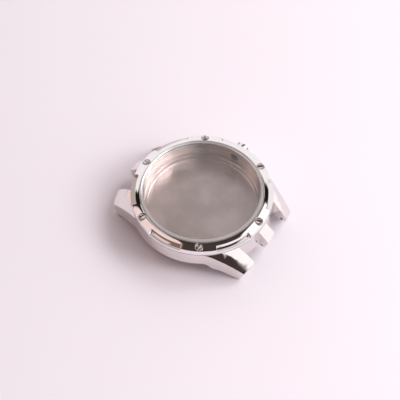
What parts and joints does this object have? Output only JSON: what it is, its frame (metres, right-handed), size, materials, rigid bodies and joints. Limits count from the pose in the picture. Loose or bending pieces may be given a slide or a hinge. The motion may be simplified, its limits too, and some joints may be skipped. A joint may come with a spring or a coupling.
{
  "type": "watch case",
  "caption": "Empty round steel watch case with a notched bezel held by screws, crystal, screw-in back, pull-out crown, and split strap lugs.",
  "frame": {"origin": "on the case's axis, in the plane where the bezel meets the mid-case, which is the top of the movement cavity", "axes": "+Z towards the crystal, +X towards the crown (3 o'clock), +Y towards 12 o'clock"},
  "size_m": [0.0461, 0.0506, 0.013],
  "materials": {
    "brushed_steel": "fine brushed stainless steel",
    "polished_steel": "mirror-polished stainless steel",
    "crystal_glass": "clear flat crystal",
    "seal_rubber": "matt black seal"
  },
  "bodies": {
    "case": {"mid_case": "brushed_steel", "bezel": "polished_steel", "bezel_screws": "polished_steel", "bezel_gasket": "seal_rubber", "crystal": "crystal_glass", "crystal_gasket": "seal_rubber", "case_back_gasket": "seal_rubber", "crown_tube": "polished_steel"},
    "back": {"case_back": "brushed_steel"},
    "crown_seal": {"crown_gasket": "seal_rubber"},
    "crown": {"crown": "polished_steel", "crown_washer": "polished_steel"}
  },
  "joints": [
    {"name": "case_back_off", "type": "slide", "parent": "case", "child": "back", "axis": [0, 0, -1], "range_m": [0, 0.02]},
    {"name": "crown_pull", "type": "slide", "parent": "case", "child": "crown_seal", "axis": [1, 0, 0], "range_m": [0, 0.0012]},
    {"name": "crown_turn", "type": "hinge", "parent": "crown_seal", "child": "crown", "pos_m": [0.0228, 0, -0.0025], "axis": [1, 0, 0], "continuous": true}
  ]
}
